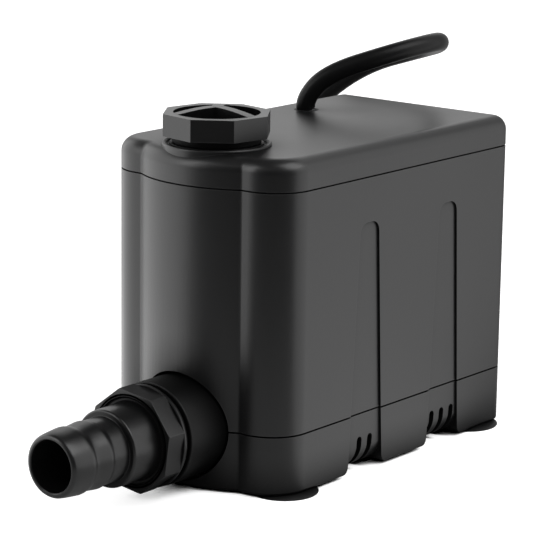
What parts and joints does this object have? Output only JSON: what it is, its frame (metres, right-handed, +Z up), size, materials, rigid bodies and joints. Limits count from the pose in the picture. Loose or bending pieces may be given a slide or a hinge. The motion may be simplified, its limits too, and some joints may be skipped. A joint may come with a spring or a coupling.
{
  "type": "submersible water pump",
  "caption": "Black submersible water pump: upright housing on a slotted strainer base with suction cups, side hose barb, capped top port and a power cord.",
  "frame": {"origin": "centre of the footprint at floor level, measured without the cord", "axes": "+Z up, the hose barb points to -Y, +X is the pump's right side seen from behind the barb looking along +Y"},
  "size_m": [0.1832, 0.3416, 0.1643],
  "materials": {
    "housing_plastic": "near-black moulded plastic, satin",
    "base_plastic": "near-black moulded plastic, satin, slightly darker",
    "fitting_plastic": "near-black moulded plastic, satin",
    "soft_rubber": "soft black rubber",
    "stainless_steel": "stainless steel",
    "inner_plastic": "dark moulded plastic",
    "impeller_plastic": "light grey moulded plastic",
    "bobbin_plastic": "off-white moulded plastic",
    "ferrite": "sintered ferrite, dark grey",
    "ceramic": "ground white ceramic",
    "lamination_steel": "stacked electrical steel",
    "copper_wire": "enamelled copper wire",
    "resin": "cast epoxy, dark",
    "cord_jacket": "black cord jacket, soft sheen",
    "tie_plastic": "black nylon strap",
    "plug_plastic": "black moulded plug",
    "blade_brass": "plated brass"
  },
  "bodies": {
    "base": {"strainer_base": "base_plastic", "suction_cup_front_right": "soft_rubber", "suction_cup_front_left": "soft_rubber", "suction_cup_rear_right": "soft_rubber", "suction_cup_rear_left": "soft_rubber"},
    "pump": {"main_housing": "housing_plastic", "top_lid": "housing_plastic", "lid_seal": "soft_rubber", "lid_screws": "stainless_steel", "riser_pipe": "inner_plastic", "riser_seal": "soft_rubber", "discharge_manifold": "fitting_plastic", "impeller_chamber": "inner_plastic", "chamber_cover": "inner_plastic", "chamber_cover_seal": "soft_rubber", "chamber_cover_screws": "stainless_steel", "rotor_shaft": "ceramic", "lower_bushing": "soft_rubber", "upper_bushing": "soft_rubber", "rotor_well": "inner_plastic", "stator_core": "lamination_steel", "coil_bobbin": "bobbin_plastic", "coil_winding": "copper_wire", "thermal_cutout": "bobbin_plastic", "lead_splices": "copper_wire", "motor_case": "inner_plastic", "potting_resin": "resin", "cord_gland": "soft_rubber", "cord_inner": "cord_jacket", "power_cord_run": "cord_jacket", "power_cord_coil": "cord_jacket", "power_cord_tail": "cord_jacket", "cord_tie": "tie_plastic", "plug_body": "plug_plastic", "plug_blades": "blade_brass"},
    "rotor": {"impeller": "impeller_plastic", "rotor_magnet": "ferrite"},
    "cap_seal": {"top_port_gasket": "soft_rubber"},
    "cap": {"top_port_cap": "fitting_plastic"},
    "barb_seal": {"hose_barb_gasket": "soft_rubber"},
    "barb": {"hose_barb": "fitting_plastic"}
  },
  "joints": [
    {"name": "base_release", "type": "slide", "parent": "base", "child": "pump", "axis": [0, 0, 1], "range_m": [0, 0.015]},
    {"name": "rotor_spin", "type": "hinge", "parent": "pump", "child": "rotor", "pos_m": [0, 0.0288, 0.05], "axis": [0, 0, 1], "continuous": true},
    {"name": "cap_lift", "type": "slide", "parent": "pump", "child": "cap_seal", "axis": [0, 0, 1], "range_m": [0, 0.00925]},
    {"name": "cap_turn", "type": "hinge", "parent": "cap_seal", "child": "cap", "pos_m": [0, -0.0226, 0.14], "axis": [0, 0, 1], "range_deg": [0, 1440]},
    {"name": "barb_draw", "type": "slide", "parent": "pump", "child": "barb_seal", "axis": [0, -1, 0], "range_m": [0, 0.00925]},
    {"name": "barb_turn", "type": "hinge", "parent": "barb_seal", "child": "barb", "pos_m": [0, -0.0643, 0.0244], "axis": [0, -1, 0], "range_deg": [0, 1440]}
  ],
  "couplings": [
    {"joint": "cap_lift", "follows": "cap_turn", "m_per_rad": 0.00036749},
    {"joint": "barb_draw", "follows": "barb_turn", "m_per_rad": 0.00036749}
  ]
}
